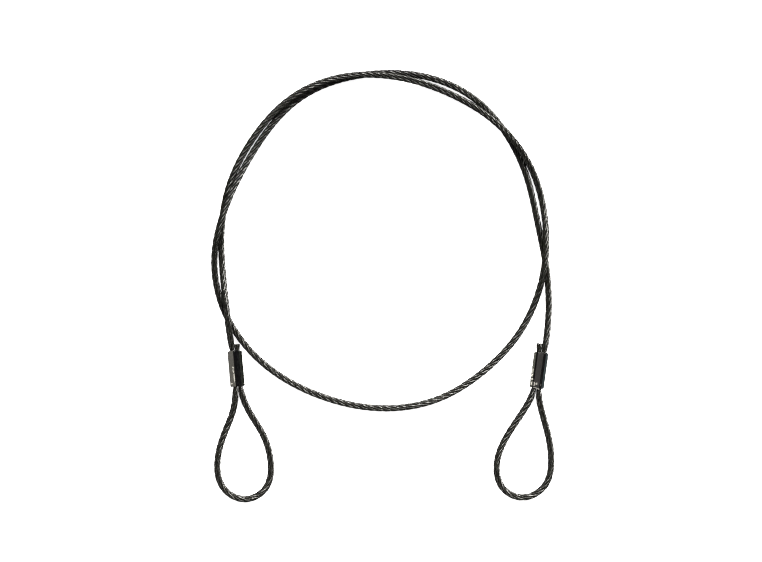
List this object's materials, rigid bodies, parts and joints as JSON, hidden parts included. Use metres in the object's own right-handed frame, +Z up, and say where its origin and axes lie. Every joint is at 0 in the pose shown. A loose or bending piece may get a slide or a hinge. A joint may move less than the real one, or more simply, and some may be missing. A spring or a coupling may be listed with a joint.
{
  "type": "looped cable for a bicycle lock",
  "caption": "Bare black wire rope with an eye at each end, each closed by a pressed ferrule, lying in loose flat turns, for a padlock or U-lock to close.",
  "frame": {"origin": "middle of the bounding box, on the surface that the rope lies on", "axes": "+Y from the eyes towards the far side of the big loop, +X from the left eye to the right eye, +Z up off the surface"},
  "size_m": [0.1888, 0.2379, 0.0079],
  "materials": {
    "rope": "black oxide steel wire, satin, with small bright rubbed spots",
    "ferrule": "black, matt on the slants, worn to bright metal along edges"
  },
  "bodies": {
    "root": {"main_cable": "rope", "left_eye": "rope", "right_eye": "rope", "left_ferrule": "ferrule", "right_ferrule": "ferrule", "left_live_core": "rope", "left_live_strand_1": "rope", "left_live_strand_2": "rope", "left_live_strand_3": "rope", "left_live_strand_4": "rope", "left_live_strand_5": "rope", "left_live_strand_6": "rope", "left_dead_core": "rope", "left_dead_strand_1": "rope", "left_dead_strand_2": "rope", "left_dead_strand_3": "rope", "left_dead_strand_4": "rope", "left_dead_strand_5": "rope", "left_dead_strand_6": "rope", "right_live_core": "rope", "right_live_strand_1": "rope", "right_live_strand_2": "rope", "right_live_strand_3": "rope", "right_live_strand_4": "rope", "right_live_strand_5": "rope", "right_live_strand_6": "rope", "right_dead_core": "rope", "right_dead_strand_1": "rope", "right_dead_strand_2": "rope", "right_dead_strand_3": "rope", "right_dead_strand_4": "rope", "right_dead_strand_5": "rope", "right_dead_strand_6": "rope"}
  },
  "joints": []
}
